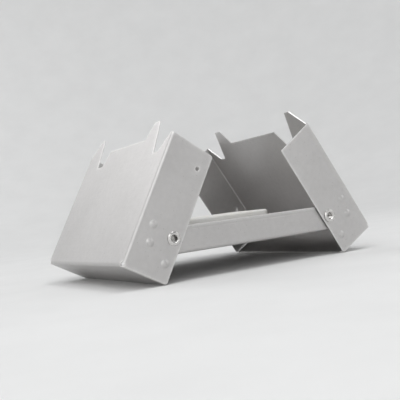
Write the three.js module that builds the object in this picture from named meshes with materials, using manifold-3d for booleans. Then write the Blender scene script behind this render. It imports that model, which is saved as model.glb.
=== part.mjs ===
// Folding solid-fuel pocket stove, open in its cooking position, with one fuel tablet on its tray.
// Millimetres. X runs along the tray, Y from front to back, Z up. The stove stands on Z = 0, and the
// origin is the middle of its footprint.
//
// Two half shells hang on the ends of a sheet-metal tray, each on two hollow rivets. Closed, they
// meet over the middle of the tray and make a flat box. Open, each stands on the free edge of its
// end wall, and its two fingers carry the pot.
import * as THREE from 'three';
import { mergeVertices } from 'three/addons/utils/BufferGeometryUtils.js';
import Module from 'manifold-3d';

// Driving dimensions
const CLOSED_LENGTH = 98;
const WIDTH = 77;
const SHEET = 0.5;
const BEND = 1.1; // outer radius of every bend
const SEAM_GAP = 0.4; // between the closed shells
const SIDE_GAP = 0.35; // between a shell's flange and the tray's

const SHELL_HEIGHT = 17.5; // from a shell's free edge to the outside of its broad face
const PIVOT_ALONG = 15.3; // from a shell's outer end to its rivets
const PIVOT_ABOVE_RIM = 3.3; // from a shell's free edge to its rivets
const REST_ANGLE = THREE.MathUtils.degToRad(60); // opening of each shell, 0 when closed
const END_SLANT = 1.3; // a flange's end runs back this far at its free edge
const SLIT = 1.1; // between the end wall and each flange
const RELIEF = { radius: 1, along: 0.55, inset: 1.3 }; // hole at each corner of the end wall
const FOOT_CLIP = 1.2; // cut corner of a flange beside the foot

const FINGER = 6.5; // a finger's reach past the seam, and the depth of the slot that it closes into
const FINGER_A = { outerBase: 1.6, outerTip: 7.2, innerTip: 9.8, innerBase: 12 };
const FINGER_B = { outerBase: 12.4, outerTip: 14.6, innerTip: 18.8, innerBase: 22 };

const TRAY_OVERHANG = 12; // past the rivets, at each end
const TRAY_DROP = 5.4; // from the rivets down to the underside
const TRAY_RISE = 4; // from the rivets up to the flange's edge
const TRAY_CORNER = 2.5;
const RIB = { length: 40, radius: 2.2, height: 1.2, offset: 8 };

const RIVET = { shank: 1.5, bore: 1.15, head: 2.5, rolled: 2.2, thick: 0.45, clearance: 0.1 };
const DIMPLE_RADIUS = 9; // from a rivet to the dimples round it
const DIMPLE_ANGLES = [-10, 30, 90]; // wide open, cooking and closed
const DIMPLE = { radius: 1.5, height: 0.5 };
const NIB = { radius: 1.1, height: 0.25 }; // the tray's dimple, which clicks into a shell's
const VENT = { radius: 0.7, pastPivot: 25.6, aboveRim: 4 }; // in one flange of each shell

const TABLET = { length: 50, width: 25, height: 9, corner: 3, edge: 0.9, gap: 0.1 };

// Worked out from the driving dimensions
const HALF = CLOSED_LENGTH / 2;
const SHELL_END = HALF - SEAM_GAP / 2;
const SHELL_HALF_WIDTH = WIDTH / 2;
const PIVOT_X = HALF - PIVOT_ALONG;
const PIVOT_Z = PIVOT_ALONG * Math.sin(REST_ANGLE) + PIVOT_ABOVE_RIM * Math.cos(REST_ANGLE);
const TRAY_HALF_WIDTH = SHELL_HALF_WIDTH - SHEET - SIDE_GAP;
const TRAY_HALF_LENGTH = PIVOT_X + TRAY_OVERHANG;
const FLOOR_TOP = PIVOT_Z - TRAY_DROP + SHEET;
const PAST = 2; // how far a cutter runs past the sheet

const AXES = {
  alongX: new THREE.Matrix4().makeBasis(vec(0, 1, 0), vec(0, 0, 1), vec(1, 0, 0)),
  alongY: new THREE.Matrix4().makeBasis(vec(1, 0, 0), vec(0, 0, 1), vec(0, -1, 0)),
  alongZ: new THREE.Matrix4(),
};

const wasm = await Module();
wasm.setup();

function vec(x, y, z) {
  return new THREE.Vector3(x, y, z);
}

// Booleans

function toSolid(geometry) {
  const bare = geometry.clone();
  bare.deleteAttribute('normal');
  bare.deleteAttribute('uv');
  const merged = mergeVertices(bare, 1e-4);
  return new wasm.Manifold(new wasm.Mesh({
    numProp: 3,
    vertProperties: new Float32Array(merged.attributes.position.array),
    triVerts: new Uint32Array(merged.index.array),
  }));
}

function toMesh(name, solid, material) {
  const { vertProperties, triVerts } = solid.getMesh();
  const geometry = new THREE.BufferGeometry();
  geometry.setAttribute('position', new THREE.BufferAttribute(vertProperties, 3));
  geometry.setIndex(new THREE.BufferAttribute(triVerts, 1));
  return namedMesh(name, geometry, material);
}

function namedMesh(name, geometry, material) {
  const mesh = new THREE.Mesh(geometry, material);
  mesh.name = name;
  return mesh;
}

// Shapes

function outline(points) {
  return new THREE.Shape(points.map(([x, y]) => new THREE.Vector2(x, y)));
}

// A prism of the given outline, from `start` to `start + depth` along its axis.
// Along X the outline is in (Y, Z), along Y in (X, Z) and along Z in (X, Y).
function prism(shape, axes, depth, start) {
  const geometry = new THREE.ExtrudeGeometry(shape, { depth, bevelEnabled: false, curveSegments: 4 });
  geometry.translate(0, 0, start);
  geometry.applyMatrix4(axes);
  return toSolid(geometry);
}

function box(low, high) {
  const size = high.map((value, i) => value - low[i]);
  const geometry = new THREE.BoxGeometry(...size);
  geometry.translate(...high.map((value, i) => (value + low[i]) / 2));
  return toSolid(geometry);
}

// A flat-topped channel: a plate of the given half width with a flange turned down at each side.
function channelShape(halfWidth, top, rim) {
  const inner = BEND - SHEET;
  const shape = new THREE.Shape();
  shape.moveTo(halfWidth, rim);
  shape.lineTo(halfWidth, top - BEND);
  shape.absarc(halfWidth - BEND, top - BEND, BEND, 0, Math.PI / 2, false);
  shape.lineTo(BEND - halfWidth, top);
  shape.absarc(BEND - halfWidth, top - BEND, BEND, Math.PI / 2, Math.PI, false);
  shape.lineTo(-halfWidth, rim);
  shape.lineTo(SHEET - halfWidth, rim);
  shape.lineTo(SHEET - halfWidth, top - BEND);
  shape.absarc(BEND - halfWidth, top - BEND, inner, Math.PI, Math.PI / 2, true);
  shape.lineTo(halfWidth - BEND, top - SHEET);
  shape.absarc(halfWidth - BEND, top - BEND, inner, Math.PI / 2, 0, true);
  shape.lineTo(halfWidth - SHEET, rim);
  shape.closePath();
  return shape;
}

// The section of a plate that turns down into a wall at its end, along X from 0.
function turnedEndShape(top, rim, reach) {
  const inner = BEND - SHEET;
  const shape = new THREE.Shape();
  shape.moveTo(0, rim);
  shape.lineTo(SHEET, rim);
  shape.lineTo(SHEET, top - BEND);
  shape.absarc(BEND, top - BEND, inner, Math.PI, Math.PI / 2, true);
  shape.lineTo(reach, top - SHEET);
  shape.lineTo(reach, top);
  shape.lineTo(BEND, top);
  shape.absarc(BEND, top - BEND, BEND, Math.PI / 2, Math.PI, false);
  shape.closePath();
  return shape;
}

// A hole of the given radius through everything along one axis.
function drill(radius, x, y, z, axis, length) {
  const geometry = new THREE.CylinderGeometry(radius, radius, length, 20);
  if (axis === 'z') geometry.rotateX(Math.PI / 2);
  geometry.translate(x, y, z);
  return toSolid(geometry);
}

// A dome on a flange's face, or the hollow behind one.
function dome(radius, height, x, y, z) {
  const geometry = new THREE.SphereGeometry(radius, 12, 8);
  geometry.scale(1, height / radius, 1);
  geometry.translate(x, y, z);
  return toSolid(geometry);
}

// A bar along X with round ends and a low arched top, rising `height` from `z` and sunk a little
// below it, so that it joins or cuts the sheet cleanly.
function ribBar(radius, height, y, z) {
  const geometry = new THREE.CapsuleGeometry(radius, RIB.length - 2 * RIB.radius, 3, 12);
  geometry.rotateZ(Math.PI / 2);
  geometry.scale(1, 1, height / radius);
  geometry.translate(0, y, z);
  const sunk = z - SHEET / 2;
  const below = box([-RIB.length, y - 2 * radius, sunk - 2 * height], [RIB.length, y + 2 * radius, sunk]);
  return toSolid(geometry).subtract(below);
}

// Shell, in its own frame: X from the outer end towards the seam, Z from the free edge

// One finger of the seam. Its stations are measured across from the flange on the given side.
function seamFinger(finger, side) {
  const station = (s) => side * (SHELL_HALF_WIDTH - s);
  const shape = outline([
    [SHELL_END - BEND, station(finger.outerBase)],
    [SHELL_END, station(finger.outerBase)],
    [HALF + FINGER, station(finger.outerTip)],
    [HALF + FINGER, station(finger.innerTip)],
    [SHELL_END, station(finger.innerBase)],
    [SHELL_END - BEND, station(finger.innerBase)],
  ]);
  return prism(shape, AXES.alongZ, SHEET, SHELL_HEIGHT - SHEET);
}

// The slot that the other shell's finger closes into, wider by the seam's gap.
function seamSlot(finger, side) {
  const station = (s) => side * (SHELL_HALF_WIDTH - s);
  const bottom = HALF - FINGER - SEAM_GAP;
  const shape = outline([
    [HALF + PAST, station(finger.outerBase - SEAM_GAP)],
    [HALF, station(finger.outerBase - SEAM_GAP)],
    [bottom, station(finger.outerTip - SEAM_GAP)],
    [bottom, station(finger.innerTip + SEAM_GAP)],
    [HALF, station(finger.innerBase + SEAM_GAP)],
    [HALF + PAST, station(finger.innerBase + SEAM_GAP)],
  ]);
  return prism(shape, AXES.alongZ, SHEET + 2 * PAST, SHELL_HEIGHT - SHEET - PAST);
}

// Slanted ends of the flanges at the seam, and clipped corners beside the foot.
function flangeEndCutters() {
  const top = SHELL_HEIGHT - BEND;
  const slant = outline([
    [SHELL_END - END_SLANT, 0],
    [SHELL_END - END_SLANT, -PAST],
    [SHELL_END + PAST, -PAST],
    [SHELL_END + PAST, top],
    [SHELL_END, top],
  ]);
  const clip = outline([[-PAST, FOOT_CLIP], [0, FOOT_CLIP], [FOOT_CLIP / 2, -PAST], [-PAST, -PAST]]);
  const inside = SHELL_HALF_WIDTH - SHEET - SLIT / 2;
  const depth = SHEET + SLIT / 2 + PAST;
  return [
    prism(slant, AXES.alongY, WIDTH + 2 * PAST, -SHELL_HALF_WIDTH - PAST),
    prism(clip, AXES.alongY, depth, inside),
    prism(clip, AXES.alongY, depth, -inside - depth),
  ];
}

function shellSolid() {
  const endHalf = SHELL_HALF_WIDTH - SHEET - SLIT;
  let shell = prism(channelShape(SHELL_HALF_WIDTH, SHELL_HEIGHT, 0), AXES.alongX, SHELL_END, 0);
  const squareCorner = box([-PAST, -endHalf, SHELL_HEIGHT - BEND], [BEND, endHalf, SHELL_HEIGHT + PAST]);
  shell = shell.subtract(squareCorner);
  shell = shell.add(prism(turnedEndShape(SHELL_HEIGHT, 0, 2 * BEND), AXES.alongY, 2 * endHalf, -endHalf));

  for (const [finger, side] of [[FINGER_A, 1], [FINGER_B, -1]]) {
    shell = shell.add(seamFinger(finger, side));
  }
  for (const [finger, side] of [[FINGER_A, -1], [FINGER_B, 1]]) {
    shell = shell.subtract(seamSlot(finger, side));
  }
  for (const cutter of flangeEndCutters()) {
    shell = shell.subtract(cutter);
  }

  const hole = RIVET.shank + RIVET.clearance;
  shell = shell.subtract(drill(hole, PIVOT_ALONG, 0, PIVOT_ABOVE_RIM, 'y', WIDTH + PAST));
  const vent = PIVOT_ALONG + VENT.pastPivot;
  shell = shell.subtract(drill(VENT.radius, vent, -SHELL_HALF_WIDTH, VENT.aboveRim, 'y', 2 * PAST));
  for (const side of [-1, 1]) {
    const corner = side * (SHELL_HALF_WIDTH - RELIEF.inset);
    const middle = SHELL_HEIGHT - BEND / 2;
    shell = shell.subtract(drill(RELIEF.radius, RELIEF.along, corner, middle, 'z', 2 * BEND));
    for (const degrees of DIMPLE_ANGLES) {
      const angle = THREE.MathUtils.degToRad(degrees);
      const x = PIVOT_ALONG - DIMPLE_RADIUS * Math.sin(angle);
      const z = PIVOT_ABOVE_RIM + DIMPLE_RADIUS * Math.cos(angle);
      const outside = side * SHELL_HALF_WIDTH;
      shell = shell.add(dome(DIMPLE.radius, DIMPLE.height, x, outside, z));
      const hollow = DIMPLE.radius - SHEET / 2;
      shell = shell.subtract(dome(hollow, DIMPLE.height, x, outside - side * SHEET, z));
    }
  }
  return shell;
}

// The shell's mesh, moved so that its rivet axis is the origin of its group.
function shellMesh(name, material) {
  const mesh = toMesh(name, shellSolid(), material);
  mesh.position.set(-PIVOT_ALONG, 0, -PIVOT_ABOVE_RIM);
  return mesh;
}

function openShell(name, material) {
  const pivot = new THREE.Group();
  pivot.position.set(-PIVOT_X, 0, PIVOT_Z);
  pivot.rotation.y = -REST_ANGLE;
  pivot.add(shellMesh(name, material));
  return pivot;
}

// Tray

function trayEndCutter() {
  const top = PIVOT_Z + TRAY_RISE;
  const shape = new THREE.Shape();
  shape.moveTo(TRAY_HALF_LENGTH, top - TRAY_CORNER);
  shape.absarc(TRAY_HALF_LENGTH - TRAY_CORNER, top - TRAY_CORNER, TRAY_CORNER, 0, Math.PI / 2, false);
  shape.lineTo(TRAY_HALF_LENGTH - TRAY_CORNER, top + PAST);
  shape.lineTo(TRAY_HALF_LENGTH + PAST, top + PAST);
  shape.lineTo(TRAY_HALF_LENGTH + PAST, top - TRAY_CORNER);
  shape.closePath();
  return prism(shape, AXES.alongY, WIDTH, -WIDTH / 2);
}

function traySolid() {
  const halfWidth = TRAY_HALF_WIDTH;
  const upsideDown = channelShape(halfWidth, TRAY_DROP, -TRAY_RISE);
  let tray = prism(upsideDown, AXES.alongX, 2 * TRAY_HALF_LENGTH, -TRAY_HALF_LENGTH);
  tray = tray.rotate([180, 0, 0]).translate([0, 0, PIVOT_Z]);
  tray = tray.subtract(trayEndCutter()).subtract(trayEndCutter().rotate([0, 0, 180]));

  for (const side of [-1, 1]) {
    const y = side * RIB.offset;
    const groove = ribBar(RIB.radius - SHEET / 2, RIB.height, y, FLOOR_TOP - SHEET);
    tray = tray.add(ribBar(RIB.radius, RIB.height, y, FLOOR_TOP)).subtract(groove);
    const hole = RIVET.shank + RIVET.clearance;
    tray = tray.subtract(drill(hole, side * PIVOT_X, 0, PIVOT_Z, 'y', WIDTH));
    for (const face of [-1, 1]) {
      const x = side * (PIVOT_X + DIMPLE_RADIUS);
      tray = tray.add(dome(NIB.radius, NIB.height, x, face * halfWidth, PIVOT_Z));
    }
  }
  return tray;
}

// Rivets

// A hollow rivet along +Y from its rolled inner end to its domed head outside the shell's flange.
function rivetGeometry() {
  const inside = TRAY_HALF_WIDTH - SHEET - RIVET.clearance;
  const outside = SHELL_HALF_WIDTH + RIVET.clearance;
  const { bore, shank, head, rolled, thick } = RIVET;
  const profile = [
    [bore, inside - thick],
    [rolled - 0.2, inside - thick],
    [rolled, inside - thick / 2],
    [rolled, inside],
    [shank, inside],
    [shank, outside],
    [head, outside],
    [head, outside + thick / 3],
    [head - 0.4, outside + thick],
    [bore + 0.2, outside + thick],
    [bore, outside + thick - 0.2],
    [bore, inside - thick],
  ];
  return new THREE.LatheGeometry(profile.map(([r, y]) => new THREE.Vector2(r, y)), 20);
}

function rivetMesh(name, x, back, material) {
  const mesh = toMesh(name, toSolid(rivetGeometry()), material);
  mesh.position.set(x, 0, PIVOT_Z);
  mesh.rotation.z = back ? 0 : Math.PI;
  return mesh;
}

// Fuel tablet

function tabletMesh(material) {
  const { length, width, height, corner, edge } = TABLET;
  const halfLength = length / 2 - edge;
  const halfWidth = width / 2 - edge;
  const radius = corner - edge;
  const shape = new THREE.Shape();
  shape.absarc(halfLength - radius, halfWidth - radius, radius, 0, Math.PI / 2, false);
  shape.absarc(radius - halfLength, halfWidth - radius, radius, Math.PI / 2, Math.PI, false);
  shape.absarc(radius - halfLength, radius - halfWidth, radius, Math.PI, 1.5 * Math.PI, false);
  shape.absarc(halfLength - radius, radius - halfWidth, radius, 1.5 * Math.PI, 2 * Math.PI, false);
  const geometry = new THREE.ExtrudeGeometry(shape, {
    depth: height - 2 * edge, bevelSize: edge, bevelThickness: edge, bevelSegments: 2, curveSegments: 4,
  });
  const mesh = toMesh('fuel_tablet', toSolid(geometry), material);
  mesh.position.z = FLOOR_TOP + RIB.height + TABLET.gap + edge;
  return mesh;
}

// Materials

function material(color, roughness, metalness) {
  return new THREE.MeshStandardMaterial({ color, roughness, metalness });
}

const zincedSheet = material(0xc6c3c3, 0.42, 0.9);
const traySheet = material(0xb4b1b0, 0.45, 0.9);
const rivetMetal = material(0xd8d6d2, 0.3, 1);
const pressedFuel = material(0xeeece4, 0.85, 0);

// Assembly

const stove = new THREE.Group();
stove.add(toMesh('fuel_tray', traySolid(), traySheet));
stove.add(openShell('left_shell', zincedSheet));
const turned = new THREE.Group();
turned.rotation.z = Math.PI;
turned.add(openShell('right_shell', zincedSheet));
stove.add(turned);
for (const [end, x] of [['left', -PIVOT_X], ['right', PIVOT_X]]) {
  stove.add(rivetMesh(`rivet_${end}_front`, x, false, rivetMetal));
  stove.add(rivetMesh(`rivet_${end}_rear`, x, true, rivetMetal));
}
stove.add(tabletMesh(pressedFuel));

export default stove;
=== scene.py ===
"""Looks of the folding pocket stove: pressed zinc-plated sheet, hollow rivets and one fuel tablet.

Each sheet part is made the way a press makes it: a flat blank is cut, its marks are pressed into it
and it is folded. Lengths are in millimetres up to the point where Blender gets them, in metres.
"""

import math

import bpy
import numpy as np
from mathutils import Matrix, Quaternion, Vector
from mathutils.geometry import delaunay_2d_cdt


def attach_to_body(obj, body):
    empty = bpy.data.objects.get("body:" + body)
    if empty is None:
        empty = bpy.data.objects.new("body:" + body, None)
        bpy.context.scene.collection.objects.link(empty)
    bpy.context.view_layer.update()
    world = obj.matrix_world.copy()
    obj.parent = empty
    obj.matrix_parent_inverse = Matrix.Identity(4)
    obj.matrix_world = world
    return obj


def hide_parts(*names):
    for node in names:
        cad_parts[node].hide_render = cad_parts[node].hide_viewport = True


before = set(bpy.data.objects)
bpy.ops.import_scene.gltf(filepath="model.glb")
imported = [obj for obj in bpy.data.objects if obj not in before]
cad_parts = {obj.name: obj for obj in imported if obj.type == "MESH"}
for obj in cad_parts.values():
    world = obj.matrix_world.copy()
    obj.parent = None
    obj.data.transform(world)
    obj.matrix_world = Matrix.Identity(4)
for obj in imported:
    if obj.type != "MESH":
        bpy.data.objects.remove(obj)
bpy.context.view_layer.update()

MM = 0.001

# Sheet and its bends
SHEET = 0.5
BEND = 1.1  # outer radius
MID = BEND - SHEET / 2  # radius at the middle of the sheet
QUARTER = MID * math.pi / 2  # length of a right-angle bend in the flat
BEND_STEPS = 6
EDGE = 0.15  # rounding of a sheared edge

# Shell: u runs from its outer end to the seam, w from its free edge to the broad face
HALF_LENGTH = 49.0
SEAM_GAP = 0.4
SHELL_END = HALF_LENGTH - SEAM_GAP / 2
SHELL_HALF = 38.5
SHELL_FLAT = SHELL_HALF - BEND
SHELL_HEIGHT = 17.5
END_SLANT = 1.3  # a flange's end runs back this far at its free edge
SLIT = 1.1  # between the end wall and each flange
RELIEF = {"radius": 1.1, "along": 0.35, "beyond": 0.1}  # hole at each corner of the end wall

# Fingers and slots along the seam, measured from the shell's side: outer base and tip, inner tip and base
FINGER = 6.5
FINGER_TIP = HALF_LENGTH + FINGER
SLOT_END = HALF_LENGTH - FINGER - SEAM_GAP
FINGER_A = (1.6, 7.2, 9.8, 12.0)
FINGER_B = (12.4, 14.6, 18.8, 22.0)

# Rivets, and the marks and holes round them
REST_ANGLE = math.radians(60)
PIVOT_U, PIVOT_W = 15.3, 3.3
PIVOT_X = HALF_LENGTH - PIVOT_U
PIVOT_Z = PIVOT_U * math.sin(REST_ANGLE) + PIVOT_W * math.cos(REST_ANGLE)
RIVET = {"bore": 1.15, "shank": 1.5, "hole": 1.6, "rolled": 2.2, "head": 2.5, "thick": 0.45, "clear": 0.1}
DIMPLE = {"away": 9.0, "radius": 1.65, "height": 0.54}
DIMPLE_ANGLES = (-10, 30, 90)  # wide open, cooking and closed
NIB = {"radius": 1.3, "height": 0.25}  # the tray's dimple, which clicks into a shell's
VENT = {"u": PIVOT_U + 25.6, "w": 4.0, "radius": 0.7}  # hole in one flange of each shell

# Tray
SIDE_GAP = 0.35  # between a shell's flange and the tray's
TRAY_HALF = SHELL_HALF - SHEET - SIDE_GAP
TRAY_FLAT = TRAY_HALF - BEND
TRAY_END = PIVOT_X + 12.0  # past the rivets
TRAY_UNDER = PIVOT_Z - 5.4  # height of its underside
TRAY_RIM = PIVOT_Z + 4.0  # height of its flanges' edges
TRAY_CORNER = 2.5
LIP = {"below_rim": 1.5, "half": 0.28, "depth": 0.1}  # line pressed along the flange's upper edge
RIB = {"offset": 8.0, "half": 2.5, "reach": 17.8, "height": 1.2}  # reach is to its end's middle

# Tablet, a hair above the tray's ribs
TABLET = {"length": 50.0, "width": 25.0, "height": 9.0, "corner": 3.0, "edge": 0.9}
TABLET_GAP = 0.1
TABLET_UNDER = TRAY_UNDER + SHEET + RIB["height"] + TABLET_GAP

# Camera: at the height of the stove, to the left of its front, a little tilted
AZIMUTH, ELEVATION, ROLL = (math.radians(degrees) for degrees in (-29.74, -0.35, -7.03))
TARGET = (0.0, 0.0, 27.0)
DISTANCE = 284.1
LENS = 63.0

# Floor: flat near the stove, then a curve up to a rim
FLOOR_FLAT, FLOOR_CURVE, FLOOR_TOP = 420.0, 480.0, 620.0

# Lights: place, width and power in watts. All of them face the stove
LIGHTS = {
    "key": ((-550, -400, 800), 800, 3.0),
    "rear": ((-320, 600, 650), 700, 1.8),
    "top": ((150, -250, 850), 300, 1.8),
    "side": ((700, -350, 400), 500, 0.7),
    "front": ((-250, -650, 350), 450, 0.45),
}
LIT_PLACE = (0, 0, 20)


def add_camera():
    back = Vector((
        math.sin(AZIMUTH) * math.cos(ELEVATION),
        -math.cos(AZIMUTH) * math.cos(ELEVATION),
        math.sin(ELEVATION),
    ))
    camera = bpy.data.objects.new("camera", bpy.data.cameras.new("camera"))
    bpy.context.scene.collection.objects.link(camera)
    camera.rotation_mode = "QUATERNION"
    camera.rotation_quaternion = Quaternion(back, ROLL) @ (-back).to_track_quat("-Z", "Y")
    camera.location = (Vector(TARGET) + back * DISTANCE) * MM
    camera.data.sensor_width = 36.0
    camera.data.lens = LENS
    camera.data.clip_start = 0.01
    camera.data.clip_end = 20.0
    bpy.context.scene.camera = camera


# Outlines in the flat

def corner(before, point, after, radius, steps=5):
    """Points of a rounded corner."""
    p, a, b = (np.array(v, float) for v in (point, before, after))
    to_a, to_b = (a - p) / np.linalg.norm(a - p), (b - p) / np.linalg.norm(b - p)
    half = math.acos(np.clip(to_a @ to_b, -1, 1)) / 2
    almost_straight = half > math.pi / 2 - 0.02
    if radius <= 0 or almost_straight:
        return [p]
    reach = min(radius / math.tan(half), 0.45 * np.linalg.norm(a - p), 0.45 * np.linalg.norm(b - p))
    radius = reach * math.tan(half)
    middle = p + (to_a + to_b) / np.linalg.norm(to_a + to_b) * radius / math.sin(half)
    start, stop = p + to_a * reach - middle, p + to_b * reach - middle
    sweep = math.pi - 2 * half
    out = []
    for k in range(steps + 1):
        t = k / steps
        spoke = (math.sin((1 - t) * sweep) * start + math.sin(t * sweep) * stop) / math.sin(sweep)
        out.append(middle + spoke)
    return out


def rounded(corners):
    """A closed outline from (x, y, radius) corners, with every side cut into short steps."""
    loop = []
    for k, (x, y, radius) in enumerate(corners):
        loop += corner(corners[k - 1][:2], (x, y), corners[(k + 1) % len(corners)][:2], radius)
    return stepped(np.array(loop))


def stepped(loop, step=0.9):
    """The outline with every side cut into steps of about this length."""
    out = []
    for p, q in zip(loop, np.roll(loop, -1, axis=0)):
        count = max(1, int(np.linalg.norm(q - p) / step))
        out += [p + (q - p) * k / count for k in range(count)]
    return np.array(out)


def circle(x, y, radius, steps=28):
    turn = np.arange(steps) * 2 * math.pi / steps
    return np.stack([x + radius * np.cos(turn), y + radius * np.sin(turn)], 1)


def rings(x, y, radius):
    """Circles in and just outside a pressed mark, so that the mesh follows its shape."""
    return [circle(x, y, radius * k / 6, 10 + 2 * k) for k in range(1, 8)]


def area(loop):
    x, y = loop[:, 0], loop[:, 1]
    return 0.5 * np.sum(x * np.roll(y, -1) - y * np.roll(x, -1))


def shrunk(loop, distance, hole=False):
    """The outline moved into the material by the distance."""
    if (area(loop) > 0) == hole:
        loop = loop[::-1]
    along = np.roll(loop, -1, axis=0) - np.roll(loop, 1, axis=0)
    along /= np.linalg.norm(along, axis=1)[:, None]
    return loop + distance * np.stack([-along[:, 1], along[:, 0]], 1)


def within(points, loop):
    """Which points lie inside the outline."""
    result = np.zeros(len(points), bool)
    for p, q in zip(loop, np.roll(loop, -1, axis=0)):
        crosses = (p[1] > points[:, 1]) != (q[1] > points[:, 1])
        if crosses.any():
            x = p[0] + (points[:, 1] - p[1]) * (q[0] - p[0]) / (q[1] - p[1])
            result ^= crosses & (points[:, 0] < x)
    return result


def distance_to(points, loops):
    """Distance of each point from the nearest outline."""
    best = np.full(len(points), np.inf)
    for loop in loops:
        for p, q in zip(loop, np.roll(loop, -1, axis=0)):
            d = q - p
            t = np.clip(((points - p) @ d) / max(d @ d, 1e-12), 0, 1)
            best = np.minimum(best, np.linalg.norm(points - p - t[:, None] * d, axis=1))
    return best


# Pressing and folding. a and b are places on the blank, n is the offset from the middle of the sheet

def turned(distance, offset):
    """Reach and drop of a point that lies the distance past the start of a right-angle bend."""
    angle = np.clip(distance / MID, 0, math.pi / 2)
    past = np.maximum(distance - QUARTER, 0)
    return (MID + offset) * np.sin(angle), MID - (MID + offset) * np.cos(angle) + past


def waves(a, b, seed, length=34.0, height=0.035):
    """The slight unevenness of pressed sheet."""
    rng = np.random.default_rng(seed)
    total = np.zeros_like(a)
    for _ in range(7):
        direction, phase = rng.uniform(0, math.pi), rng.uniform(0, 2 * math.pi)
        size = length * rng.uniform(0.55, 1.6)
        total += np.sin(2 * math.pi * (a * math.cos(direction) + b * math.sin(direction)) / size + phase)
    return height * total / 2.6


def bump(distance, radius, height):
    """A pressed dome with a soft foot."""
    t = np.clip(1 - (distance / radius) ** 2, 0, 1)
    return height * t ** 1.5 * (1.6 - 0.6 * t)


def fade(distance):
    """How freely the sheet waves at this distance from a bend, which holds it straight."""
    return np.clip(distance / 6, 0, 1)


def flange_b(w, side):
    """Where a shell flange's station w lies across the blank."""
    return side * (SHELL_FLAT + QUARTER + SHELL_HEIGHT - BEND - w)


def flange_up(z, side):
    """Where a height on the tray's flange lies across the blank."""
    return side * (TRAY_FLAT + QUARTER + z - TRAY_UNDER - BEND)


def dimples():
    """Stations u and w of the dimples round a shell's rivet."""
    turns = [math.radians(degrees) for degrees in DIMPLE_ANGLES]
    away = DIMPLE["away"]
    return [(PIVOT_U - away * math.sin(turn), PIVOT_W + away * math.cos(turn)) for turn in turns]


def shell_marks(a, b, seed):
    press = waves(a, b, seed) * fade(SHELL_FLAT - np.abs(b)) * fade(a - BEND)
    for side in (-1, 1):
        for u, w in dimples():
            away = np.hypot(a - u, b - flange_b(w, side))
            press = press + bump(away, DIMPLE["radius"], DIMPLE["height"])
    return press


def fold_shell(a, b, n, seed):
    """Blank to the shell's own frame: u, y, w."""
    n = n + shell_marks(a, b, seed)
    across = np.abs(b) - SHELL_FLAT
    on_flange = across > np.where(a < BEND, 0.5, 0.0)
    reach, drop = turned(across, n)
    y = np.sign(b) * np.where(on_flange, SHELL_FLAT + reach, np.abs(b))
    w = np.where(on_flange, -drop, n)
    at_end = (a < BEND) & ~on_flange
    end_reach, end_drop = turned(BEND - a, n)
    u = np.where(at_end, BEND - end_reach, a)
    w = np.where(at_end, -end_drop, w)
    return np.stack([u, y, SHELL_HEIGHT - SHEET / 2 + w], 1)


def open_shell(points, right):
    """The shell's own frame to the stove's, at its cooking position."""
    u, w = points[:, 0] - PIVOT_U, points[:, 2] - PIVOT_W
    x = -PIVOT_X + u * math.cos(REST_ANGLE) - w * math.sin(REST_ANGLE)
    z = PIVOT_Z + u * math.sin(REST_ANGLE) + w * math.cos(REST_ANGLE)
    side = -1 if right else 1
    return np.stack([side * x, side * points[:, 1], z], 1)


def tray_marks(a, b, seed):
    press = waves(a, b, seed) * fade(TRAY_FLAT - np.abs(b))
    for side in (-1, 1):
        past = np.maximum(np.abs(a) - RIB["reach"], 0)
        press = press - bump(np.hypot(past, b - side * RIB["offset"]), RIB["half"], RIB["height"])
        away = np.hypot(np.abs(a) - PIVOT_X - DIMPLE["away"], b - flange_up(PIVOT_Z, side))
        press = press + bump(away, NIB["radius"], NIB["height"])
    from_lip = np.abs(b) - flange_up(TRAY_RIM - LIP["below_rim"], 1)
    return press - LIP["depth"] * np.exp(-(from_lip / LIP["half"]) ** 2)


def fold_tray(a, b, n, seed):
    """Blank to the stove's frame: x, y, z."""
    n = n + tray_marks(a, b, seed)
    across = np.abs(b) - TRAY_FLAT
    reach, drop = turned(across, n)
    y = np.sign(b) * np.where(across > 0, TRAY_FLAT + reach, np.abs(b))
    z = TRAY_UNDER + SHEET / 2 + np.where(across > 0, drop, -n)
    return np.stack([a, y, z], 1)


# Sheet meshes

def grid_points(outer, step=1.4):
    low, high = outer.min(0), outer.max(0)
    x, y = np.meshgrid(np.arange(low[0], high[0], step), np.arange(low[1], high[1], step))
    return np.stack([x.ravel(), y.ravel()], 1)


def line_points(start, stop, step=1.3):
    count = max(2, int(math.dist(start, stop) / step))
    t = np.linspace(0, 1, count + 1)[:, None]
    return np.array(start) * (1 - t) + np.array(stop) * t


def inside_sheet(points, outer, holes):
    keep = within(points, outer)
    for hole in holes:
        keep &= ~within(points, hole)
    return keep


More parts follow.
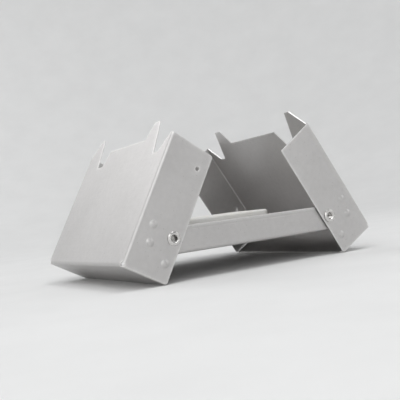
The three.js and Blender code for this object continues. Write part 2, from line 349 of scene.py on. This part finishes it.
def blank_mesh(outer, holes, lines, spots):
    """Flat points and triangles of a blank, smaller all round by the rounding of its edges.

    The triangles keep to the bend lines, and spots are further points that they go through.
    """
    edge_in, holes_in = shrunk(outer, EDGE), [shrunk(h, EDGE, hole=True) for h in holes]
    points, edges = [], []
    for loop in [edge_in, *holes_in]:
        first = len(points)
        points += list(loop)
        edges += [(first + k, first + (k + 1) % len(loop)) for k in range(len(loop))]
    for start, stop in lines:
        row, first = line_points(start, stop), len(points)
        points += list(row)
        edges += [(first + k, first + k + 1) for k in range(len(row) - 1)]
    beside_edges = (0.28, 0.7)
    near = [shrunk(outer, d) for d in beside_edges]
    near += [shrunk(h, d, hole=True) for h in holes for d in beside_edges]
    loose = np.concatenate([*spots, *near, grid_points(outer)])
    clear = distance_to(loose, [outer, *holes]) > EDGE + 0.12
    points += list(loose[inside_sheet(loose, edge_in, holes_in) & clear])

    made = delaunay_2d_cdt([Vector(p) for p in points], edges, [], 0, 1e-4)
    flat = np.array([tuple(v) for v in made[0]])
    triangles = np.array(made[2])
    triangles = triangles[inside_sheet(flat[triangles].mean(axis=1), edge_in, holes_in)]
    p, q, r = (flat[triangles[:, k]] for k in range(3))
    twice = (q[:, 0] - p[:, 0]) * (r[:, 1] - p[:, 1]) - (q[:, 1] - p[:, 1]) * (r[:, 0] - p[:, 0])
    triangles[twice < 0] = triangles[twice < 0][:, ::-1]
    used = np.unique(triangles)
    index = np.full(len(flat), -1)
    index[used] = np.arange(len(used))
    return flat[used], index[triangles]


def rim_of(flat, triangles):
    """Directed edges round the blank, material on their left, and each rim point's outward direction."""
    directed = np.concatenate([triangles[:, [0, 1]], triangles[:, [1, 2]], triangles[:, [2, 0]]])
    known = set(map(tuple, directed))
    rim = np.array([e for e in directed if (e[1], e[0]) not in known])
    along = flat[rim[:, 1]] - flat[rim[:, 0]]
    out = np.stack([along[:, 1], -along[:, 0]], 1) / np.linalg.norm(along, axis=1)[:, None]
    total = np.zeros_like(flat)
    for k in range(2):
        np.add.at(total, rim[:, k], out)
    length = np.linalg.norm(total, axis=1)
    total[length > 0] /= length[length > 0][:, None]
    return rim, total


def edge_profile():
    """A rounded sheared edge in section: reach out, offset from the middle of the sheet, and slope."""
    upper = [
        (EDGE * math.sin(slope), SHEET / 2 - EDGE * (1 - math.cos(slope)), slope)
        for slope in np.radians([30, 60, 90])
    ]
    return upper + [(out, -offset, math.pi - slope) for out, offset, slope in reversed(upper)]


def normals_of(fold, uv, offset, slope, away, step=0.02):
    """Normals of the folded sheet, and whether its fold keeps (1) or swaps (-1) left and right."""
    a, b = uv[:, 0], uv[:, 1]
    along_a = fold(a + step, b, offset) - fold(a - step, b, offset)
    along_b = fold(a, b + step, offset) - fold(a, b - step, offset)
    through = fold(a, b, offset + step) - fold(a, b, offset - step)
    face = np.cross(along_a, along_b)
    sign = np.sign(np.sum(face * through))
    face *= sign / np.maximum(np.linalg.norm(face, axis=1), 1e-9)[:, None]
    side = away[:, :1] * along_a + away[:, 1:] * along_b
    side /= np.maximum(np.linalg.norm(side, axis=1), 1e-9)[:, None]
    return np.cos(slope)[:, None] * face + np.sin(slope)[:, None] * side, sign


def sheet_piece(name, outer, holes, lines, spots, fold):
    """A folded sheet with rounded sheared edges, as one closed mesh with a flat UV map in millimetres.

    fold takes flat positions and the offset from the middle of the sheet to a place on the stove.
    """
    flat, triangles = blank_mesh(outer, holes, lines, spots)
    rim, out = rim_of(flat, triangles)
    on_rim = np.unique(rim)
    layers = [(flat, SHEET / 2, 0.0, out), (flat, -SHEET / 2, math.pi, out)]
    for reach, height, turn in edge_profile():
        layers.append((flat[on_rim] + reach * out[on_rim], height, turn, out[on_rim]))
    uv = np.concatenate([points for points, _, _, _ in layers])
    offset = np.concatenate([np.full(len(points), height) for points, height, _, _ in layers])
    slope = np.concatenate([np.full(len(points), turn) for points, _, turn, _ in layers])
    away = np.concatenate([outward for _, _, _, outward in layers])
    normal, sign = normals_of(fold, uv, offset, slope, away)

    count = len(flat)
    position = np.full(count, -1)
    position[on_rim] = np.arange(len(on_rim))
    faces = [tuple(t) for t in triangles] + [tuple(t[::-1] + count) for t in triangles]
    rows = [2 * count + k * len(on_rim) + position for k in range(len(layers) - 2)]
    rows = [np.arange(count), *rows, np.arange(count) + count]
    for upper, lower in zip(rows, rows[1:]):
        faces += [(upper[j], upper[i], lower[i], lower[j]) for i, j in rim]
    if sign < 0:
        faces = [face[::-1] for face in faces]

    obj = mesh_piece(name, fold(uv[:, 0], uv[:, 1], offset), faces, normal)
    # How near each point is to a cut edge, full on the cut faces; the material paints the sheet brighter
    # there, partly as rubbed plating and partly as a painted edge highlight
    edge = np.exp(-np.maximum(distance_to(uv, [outer, *holes]) - EDGE, 0) / 0.3)
    edge[2 * count:] = 1
    values = obj.data.attributes.new("edge", "FLOAT", "POINT").data
    values.foreach_set("value", np.asarray(edge, np.float32))
    layer = obj.data.uv_layers.new(name="flat")
    corners = np.zeros(len(obj.data.loops), np.int32)
    obj.data.loops.foreach_get("vertex_index", corners)
    layer.data.foreach_set("uv", uv[corners].astype(np.float32).ravel())
    return obj


def mesh_piece(name, points, faces, normals=None):
    """A smooth mesh object from points in millimetres."""
    mesh = bpy.data.meshes.new(name)
    mesh.from_pydata((np.asarray(points) * MM).tolist(), [], [tuple(map(int, f)) for f in faces])
    mesh.validate()
    mesh.shade_smooth()
    if normals is not None:
        mesh.normals_split_custom_set_from_vertices(np.asarray(normals).tolist())
    obj = bpy.data.objects.new(name, mesh)
    bpy.context.scene.collection.objects.link(obj)
    return obj


# Blanks

def bend_lines(flat, start, stop):
    """Lines along both side bends, from the flat plate to the start of the flange."""
    across = [flat + QUARTER * k / BEND_STEPS for k in range(BEND_STEPS + 1)]
    return [((start, side * b), (stop, side * b)) for side in (-1, 1) for b in across]


def relief_corners(end_half, side):
    """The outline round a relief hole, from the end wall's edge to the flange's end."""
    radius, along, middle = RELIEF["radius"], RELIEF["along"], SHELL_FLAT + RELIEF["beyond"]
    first = math.pi + math.asin((middle - end_half) / radius)
    last = 2 * math.pi + math.acos(-along / radius)
    turns = np.linspace(first, last, 20)
    return [(along + radius * math.cos(t), side * (middle + radius * math.sin(t)), 0) for t in turns]


def shell_outline():
    end_half = SHELL_HALF - SHEET - SLIT
    wall_edge = BEND - QUARTER - (SHELL_HEIGHT - BEND)
    free, bend_end = flange_b(0, 1), flange_b(SHELL_HEIGHT - BEND, 1)
    a1, a2, a3, a4 = FINGER_A
    b1, b2, b3, b4 = FINGER_B
    front = [
        (SHELL_END, a1 - SEAM_GAP, 0.3), (SLOT_END, a2 - SEAM_GAP, 0.5), (SLOT_END, a3 + SEAM_GAP, 0.5),
        (SHELL_END, b1, 0.2), (FINGER_TIP, b2, 0.7), (FINGER_TIP, b3, 0.7), (SHELL_END, b4, 0.4),
    ]
    rear = [
        (SHELL_END, b4 + SEAM_GAP, 0.4), (SLOT_END, b3 + SEAM_GAP, 0.5), (SLOT_END, b2 - SEAM_GAP, 0.5),
        (SHELL_END, a4, 0.5), (FINGER_TIP, a3, 0.7), (FINGER_TIP, a2, 0.7), (SHELL_END, a1, 0.3),
    ]
    return rounded([
        (wall_edge, -end_half, 0.8),
        *relief_corners(end_half, -1),
        (0, -free, 0.9),
        (SHELL_END - END_SLANT, -free, 0.8),
        (SHELL_END, -bend_end, 0.5),
        *[(u, station - SHELL_HALF, radius) for u, station, radius in front],
        *[(u, SHELL_HALF - station, radius) for u, station, radius in rear],
        (SHELL_END, bend_end, 0.5),
        (SHELL_END - END_SLANT, free, 0.8),
        (0, free, 0.9),
        *relief_corners(end_half, 1)[::-1],
        (wall_edge, end_half, 0.8),
    ])


def add_shell(name, right, seed):
    holes, spots = [circle(VENT["u"], flange_b(VENT["w"], -1), VENT["radius"], 20)], []
    for side in (-1, 1):
        holes.append(circle(PIVOT_U, flange_b(PIVOT_W, side), RIVET["hole"]))
        for u, w in dimples():
            spots += rings(u, flange_b(w, side), DIMPLE["radius"])
    lines = bend_lines(SHELL_FLAT, -1, SHELL_END + 1)
    for k in range(BEND_STEPS + 1):
        u, half = BEND - QUARTER * k / BEND_STEPS, SHELL_FLAT + 0.2
        lines.append(((u, -half), (u, half)))
    return sheet_piece(
        name, shell_outline(), holes, lines, spots,
        lambda a, b, n: open_shell(fold_shell(a, b, n, seed), right),
    )


def add_tray(name, seed):
    rim = flange_up(TRAY_RIM, 1)
    outer = rounded([
        (-TRAY_END, -rim, TRAY_CORNER), (TRAY_END, -rim, TRAY_CORNER),
        (TRAY_END, rim, TRAY_CORNER), (-TRAY_END, rim, TRAY_CORNER),
    ])
    holes, spots = [], []
    for side in (-1, 1):
        over_rib = np.arange(-21, 21, 0.5), side * RIB["offset"] + np.arange(-3, 3.1, 0.33)
        spots.append(np.stack([v.ravel() for v in np.meshgrid(*over_rib)], 1))
        lip = flange_up(TRAY_RIM - LIP["below_rim"], side)
        for b in lip + np.linspace(-0.5, 0.5, 5):
            spots.append(line_points((-TRAY_END, b), (TRAY_END, b), 0.8))
        for end in (-1, 1):
            holes.append(circle(end * PIVOT_X, flange_up(PIVOT_Z, side), RIVET["hole"]))
            spots += rings(end * (PIVOT_X + DIMPLE["away"]), flange_up(PIVOT_Z, side), NIB["radius"])
    lines = bend_lines(TRAY_FLAT, -TRAY_END - 1, TRAY_END + 1)
    return sheet_piece(name, outer, holes, lines, spots, lambda a, b, n: fold_tray(a, b, n, seed))


# Rivets

def add_rivet(name, x, rear, seed, steps=56):
    """A hollow rivet: a domed ring outside the shell's flange, a tube, and a rolled end inside."""
    bore, shank, rolled, head, thick = (RIVET[key] for key in ("bore", "shank", "rolled", "head", "thick"))
    inside, outside = TRAY_HALF - SHEET - RIVET["clear"], SHELL_HALF + RIVET["clear"]
    section = stepped(rounded([
        (bore, inside - thick, 0.1), (1.6, inside - thick, 0.3),
        (rolled, inside - 0.25, 0.15), (rolled, inside, 0.1),
        (shank, inside, 0.08), (shank, outside, 0.08),
        (head, outside, 0.1), (head, outside + 0.14, 0.14),
        (2.05, outside + thick, 0.4), (shank, outside + thick, 0.3), (bore, outside + 0.1, 0.4),
    ]), 0.16)
    rng = np.random.default_rng(seed)
    phase = rng.uniform(0, 2 * math.pi, 3)
    points = []
    for k in range(steps):
        t = 2 * math.pi * k / steps
        uneven = math.sin(2 * t + phase[0]) + 0.6 * math.sin(5 * t + phase[1])
        for r, y in section:
            # The rolled end is a little torn, and the head a little out of round
            at_roll = np.clip((inside + 0.1 - y) / 0.3, 0, 1) * np.clip((r - 1.3) / 0.6, 0, 1)
            at_head = np.clip((y - outside) / 0.3, 0, 1)
            radius = r + 0.03 * at_roll * (uneven + math.sin(9 * t + phase[2]))
            radius -= 0.012 * at_head * (1.6 + uneven)
            points.append((radius * math.cos(t), y, radius * math.sin(t)))
    side = 1 if rear else -1
    place = np.array([(x + side * px, side * py, PIVOT_Z + pz) for px, py, pz in points])
    return mesh_piece(name, place, wall_faces(steps, len(section), ring=True))


def wall_faces(rows, count, ring=False):
    """Quads between neighbouring rows of points, and in a ring between the last row and the first."""
    faces = []
    for row in range(rows if ring else rows - 1):
        here, there = row * count, (row + 1) % rows * count
        for j in range(count):
            after = (j + 1) % count
            faces.append((here + j, here + after, there + after, there + j))
    return faces


# Fuel tablet

def tablet_ring(inset, z, steps=12):
    """A rounded rectangle of the tablet's plan, drawn in by the inset."""
    half_x, half_y = TABLET["length"] / 2 - inset, TABLET["width"] / 2 - inset
    radius = TABLET["corner"] * max(0.02, 1 - inset / (TABLET["width"] / 2))
    x, y = half_x - radius, half_y - radius
    centres = np.array([(x, y), (-x, y), (-x, -y), (x, -y)])
    parts = []
    for quarter, (centre, after) in enumerate(zip(centres, np.roll(centres, -1, axis=0))):
        turn = quarter * math.pi / 2 + np.linspace(0, math.pi / 2, steps)
        arc = centre + radius * np.stack([np.cos(turn), np.sin(turn)], 1)
        count = 22 if quarter % 2 else 44
        parts += [arc, arc[-1] + (after - centre) * np.arange(1, count)[:, None] / count]
    plan = np.concatenate(parts)
    return np.column_stack([plan, np.full(len(plan), z)])


def add_tablet(name):
    """A pressed block: crowned faces, worn edges, a thin flash round its waist and a few chips."""
    height, edge, half = TABLET["height"], TABLET["edge"], TABLET["width"] / 2
    waist = height * 0.42
    face, crown, edge_start = 0.3, 0.22, 0.12
    crowned = [(d, crown * (1 - (1 - d / half) ** 3)) for d in (10.8, 9, 7.2, 5.4, 3.8, 2.6, 1.8)]
    turns = [math.pi / 2 * k / 6 for k in range(7)]
    levels = [(d + edge, face - rise) for d, rise in crowned]
    levels += [(edge * (1 - math.sin(t)), edge_start + edge * (1 - math.cos(t))) for t in turns]
    levels += [
        (0.03, 2.2), (0.05, waist - 0.35), (0.06, waist - 0.12), (0.0, waist - 0.06),
        (0.0, waist + 0.06), (0.06, waist + 0.12), (0.05, waist + 0.35), (0.05, 5.4), (0.04, 7.0),
    ]
    levels += [(edge * (1 - math.cos(t)), height - edge_start - edge * (1 - math.sin(t))) for t in turns]
    levels += [(d + edge, height - face + rise) for d, rise in reversed(crowned)]
    stack = [tablet_ring(inset, TABLET_UNDER + z) for inset, z in levels]
    points, count = np.concatenate(stack), len(stack[0])
    faces = wall_faces(len(stack), count)
    faces.append(tuple(range(count))[::-1])
    faces.append(tuple(range(len(points) - count, len(points))))
    return mesh_piece(name, worn(points), faces)


def worn(points):
    """Points of the tablet with its edges crumbled a little, always inwards."""
    middle = np.array([0, 0, TABLET_UNDER + TABLET["height"] / 2])
    size = np.array([TABLET["length"], TABLET["width"], TABLET["height"]]) / 2
    share = np.abs(points - middle) / size
    on_edge = np.clip((np.sort(share, axis=1)[:, 1] - 0.9) / 0.1, 0, 1)
    rng = np.random.default_rng(11)
    total = np.zeros(len(points))
    for _ in range(9):
        wave = rng.normal(0, 1.0, 3) * rng.uniform(0.5, 2.2)
        total += np.sin(points @ wave + rng.uniform(0, 2 * math.pi))
    depth = 0.05 * np.clip(total / 2.2 + 0.7, 0, 3) * on_edge
    inward = (middle - points) * np.array([0.2, 0.5, 1.0])
    inward /= np.linalg.norm(inward, axis=1)[:, None]
    return points + inward * depth[:, None]


# Materials

class Look:
    """A material while it is built. A socket given to an input is linked, and a value is set on it."""

    def __init__(self, name):
        self.material = bpy.data.materials.new(name)
        self.material.use_nodes = True
        self.tree = self.material.node_tree
        self.shader = self.tree.nodes["Principled BSDF"]

    def feed(self, node, **sockets):
        for key, value in sockets.items():
            socket = node.inputs[int(key[1:]) if key[1:].isdigit() else key.replace("_", " ")]
            if isinstance(value, bpy.types.NodeSocket):
                self.tree.links.new(value, socket)
            else:
                socket.default_value = value
        return node

    def node(self, kind, **settings):
        made = self.tree.nodes.new("ShaderNode" + kind)
        for key, value in settings.items():
            setattr(made, key, value)
        return made

    def noise(self, where, scale, detail=4.0, roughness=0.55):
        made = self.node("TexNoise")
        return self.feed(made, Vector=where, Scale=scale, Detail=detail, Roughness=roughness).outputs["Fac"]

    def cells(self, where, scale):
        return self.feed(self.node("TexVoronoi"), Vector=where, Scale=scale).outputs["Distance"]

    def mapped(self, where, scale=(1, 1, 1), turn=0.0, move=(0, 0, 0)):
        made = self.node("Mapping")
        return self.feed(made, Vector=where, Location=move, Rotation=(0, 0, turn), Scale=scale).outputs[0]

    def ranged(self, value, low, high, to_low=0.0, to_high=1.0):
        made = self.node("MapRange")
        return self.feed(made, Value=value, i1=low, i2=high, i3=to_low, i4=to_high).outputs[0]

    def math(self, operation, first, second):
        return self.feed(self.node("Math", operation=operation), i0=first, i1=second).outputs[0]

    def blend(self, share, first, second):
        made = self.node("Mix", data_type="RGBA")
        return self.feed(made, i0=share, i6=first, i7=second).outputs[2]

    def bumped(self, height, strength, distance, under=None):
        made = self.feed(self.node("Bump"), Height=height, Strength=strength, Distance=distance)
        if under is not None:
            self.feed(made, Normal=under)
        return made.outputs[0]


def sheet_look(name, light, dark, roughness, seed, grain_scale):
    """Zinc-plated rolled sheet: cloudy plating, rolling grain, fine scratches, and cut edges painted
    brighter, partly as rubbed plating and partly as a painted edge highlight.
    """
    look = Look(name)
    flat = look.node("UVMap", uv_map="flat").outputs[0]
    where = look.mapped(flat, move=(seed * 131.0, seed * 57.0, seed * 3.0))
    edge = look.node("Attribute", attribute_name="edge").outputs["Fac"]
    cloud = look.noise(where, 0.045, 3.0)
    mottle = look.noise(where, 0.55, 6.0, 0.62)
    grain = look.noise(look.mapped(where, grain_scale), 1.0, 5.0, 0.65)
    fine = look.noise(look.mapped(where, (0.02, 7.0, 1), 0.62), 1.0, 2.0)
    cross = look.noise(look.mapped(where, (0.03, 8.0, 1), -1.05), 1.0, 2.0)
    scratches = look.math("MAXIMUM", look.ranged(fine, 0.69, 0.74), look.ranged(cross, 0.7, 0.75))
    patches = look.ranged(look.noise(where, 0.11, 2.0), 0.48, 0.62)
    scratches = look.math("MULTIPLY", scratches, patches)
    pits = look.ranged(look.cells(where, 0.55), 0.05, 0.12, 1.0, 0.0)
    # Near the cut edges the sheet is painted brighter and a little smoother: partly rubbed plating, partly
    # a painted highlight where the edges catch the light
    edge_wear_and_highlight = look.math("MULTIPLY", edge, look.ranged(mottle, 0.25, 0.6, 0.45, 1.0))

    tone = look.math("MULTIPLY", look.ranged(cloud, 0.3, 0.7), 0.55)
    tone = look.math("ADD", tone, look.math("MULTIPLY", look.ranged(mottle, 0.3, 0.7), 0.45))
    colour = look.blend(tone, dark, light)
    colour = look.blend(look.math("MULTIPLY", pits, 0.35), colour, (0.2, 0.195, 0.19, 1))
    colour = look.blend(look.math("MULTIPLY", scratches, 0.25), colour, (0.8, 0.79, 0.78, 1))
    # Painted edge highlight together with rubbed plating: the colour goes toward pale grey near the cut
    # edges
    colour = look.blend(look.math("MULTIPLY", edge_wear_and_highlight, 0.6), colour, (0.84, 0.83, 0.82, 1))

    rough = look.ranged(cloud, 0.3, 0.7, roughness - 0.05, roughness + 0.05)
    rough = look.math("ADD", rough, look.ranged(grain, 0.3, 0.7, -0.05, 0.05))
    rough = look.math("SUBTRACT", rough, look.math("MULTIPLY", edge_wear_and_highlight, 0.05))
    rough = look.math("SUBTRACT", rough, look.math("MULTIPLY", scratches, 0.1))

    relief = look.bumped(grain, 0.3, 0.00002)
    relief = look.bumped(look.noise(where, 2.6, 3.0, 0.6), 0.25, 0.000012, relief)
    relief = look.bumped(mottle, 0.22, 0.00003, relief)
    relief = look.bumped(look.math("ADD", pits, scratches), 0.4, -0.00002, relief)
    look.feed(look.shader, Base_Color=colour, Metallic=0.92, Roughness=rough, Normal=relief)
    return look.material


def rivet_look():
    """Plated steel, turned and pressed: brighter than the sheet, with handling marks."""
    look = Look("rivet_steel")
    where = look.node("TexCoord").outputs["Object"]
    mottle = look.noise(where, 900.0, 5.0)
    cloud = look.noise(where, 220.0, 3.0)
    colour = look.blend(look.ranged(cloud, 0.3, 0.7), (0.56, 0.55, 0.54, 1), (0.74, 0.73, 0.71, 1))
    rough = look.ranged(mottle, 0.25, 0.75, 0.2, 0.36)
    relief = look.bumped(mottle, 0.35, 0.00003)
    look.feed(look.shader, Base_Color=colour, Metallic=1.0, Roughness=rough, Normal=relief)
    return look.material


def tablet_look():
    """Pressed white fuel: chalky, with fine grains, small pits and a slight yellowing."""
    look = Look("pressed_fuel")
    where = look.node("TexCoord").outputs["Object"]
    cloud = look.noise(where, 90.0, 4.0)
    powder = look.noise(where, 1500.0, 5.0, 0.7)
    pits = look.ranged(look.noise(where, 420.0, 3.0), 0.66, 0.74)
    colour = look.blend(look.ranged(cloud, 0.3, 0.7), (0.8, 0.785, 0.74, 1), (0.88, 0.875, 0.855, 1))
    colour = look.blend(look.math("MULTIPLY", pits, 0.5), colour, (0.6, 0.585, 0.54, 1))
    rough = look.ranged(powder, 0.3, 0.7, 0.66, 0.9)
    relief = look.bumped(look.cells(where, 1600.0), 0.5, 0.00006)
    relief = look.bumped(powder, 0.6, 0.00005, relief)
    relief = look.bumped(pits, 0.8, -0.00015, relief)
    look.feed(look.shader, Base_Color=colour, Roughness=rough, Normal=relief)
    return look.material


# Stage

def add_stage(steps=96):
    """A pale floor that curves up all round, so that no horizon shows."""
    profile = [(radius, 0.0) for radius in (50.0, 150.0, 300.0, FLOOR_FLAT)]
    for t in np.linspace(0, math.pi / 2, 15)[1:]:
        profile.append((FLOOR_FLAT + FLOOR_CURVE * math.sin(t), FLOOR_CURVE * (1 - math.cos(t))))
    profile.append((FLOOR_FLAT + FLOOR_CURVE, FLOOR_TOP))
    points = [(0.0, 0.0, 0.0)]
    for r, z in profile:
        points += [(r * math.cos(t), r * math.sin(t), z) for t in np.arange(steps) * 2 * math.pi / steps]
    faces = [(0, 1 + k, 1 + (k + 1) % steps) for k in range(steps)]
    for ring in range(len(profile) - 1):
        a, b = 1 + ring * steps, 1 + (ring + 1) * steps
        faces += [(a + k, b + k, b + (k + 1) % steps, a + (k + 1) % steps) for k in range(steps)]
    floor = mesh_piece("floor", points, faces)
    look = Look("floor")
    tone = look.noise(look.node("TexCoord").outputs["Object"], 30.0, 3.0)
    colour = look.blend(look.ranged(tone, 0.3, 0.7), (0.77, 0.77, 0.765, 1), (0.8, 0.8, 0.795, 1))
    look.feed(look.shader, Base_Color=colour, Roughness=0.85)
    floor.data.materials.append(look.material)


def add_lights():
    for name, (place, width, power) in LIGHTS.items():
        lamp = bpy.data.lights.new(name, "AREA")
        lamp.shape = "DISK"
        lamp.size = width * MM
        lamp.energy = power
        light = bpy.data.objects.new(name, lamp)
        light.location = Vector(place) * MM
        light.rotation_mode = "QUATERNION"
        light.rotation_quaternion = (Vector(LIT_PLACE) - Vector(place)).to_track_quat("-Z", "Y")
        light.visible_camera = False
        bpy.context.scene.collection.objects.link(light)
    world = bpy.data.worlds.new("studio")
    world.use_nodes = True
    world.node_tree.nodes["Background"].inputs["Color"].default_value = (0.95, 0.97, 1.0, 1)
    world.node_tree.nodes["Background"].inputs["Strength"].default_value = 0.34
    bpy.context.scene.world = world


def attach(piece, body, node, material):
    piece.data.materials.append(material)
    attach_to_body(piece, body)
    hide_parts(node)


add_camera()
add_stage()
add_lights()
bpy.context.scene.view_settings.view_transform = "Standard"

SHELL_ZINC = (0.6, 0.59, 0.585, 1), (0.52, 0.51, 0.505, 1), 0.44  # light and dark tone, roughness
TRAY_ZINC = (0.57, 0.56, 0.555, 1), (0.49, 0.48, 0.475, 1), 0.46
ACROSS, ALONG = (3.4, 0.05, 1), (0.05, 3.4, 1)  # which way the rolling grain runs on the blank
attach(add_shell("left_shell_sheet", False, 1), "left_shell", "left_shell",
       sheet_look("shell_zinc_left", *SHELL_ZINC, 1, ACROSS))
attach(add_shell("right_shell_sheet", True, 2), "right_shell", "right_shell",
       sheet_look("shell_zinc_right", *SHELL_ZINC, 2, ACROSS))
attach(add_tray("fuel_tray_sheet", 5), "tray", "fuel_tray",
       sheet_look("tray_zinc", *TRAY_ZINC, 3, ALONG))
rivet_steel = rivet_look()
for index, (end, x) in enumerate((("left", -PIVOT_X), ("right", PIVOT_X))):
    for rear in (False, True):
        node = f"rivet_{end}_{'rear' if rear else 'front'}"
        eyelet = add_rivet(node + "_eyelet", x, rear, 20 + 2 * index + rear)
        attach(eyelet, "tray", node, rivet_steel)
attach(add_tablet("fuel_tablet_pressed"), "tablet", "fuel_tablet", tablet_look())
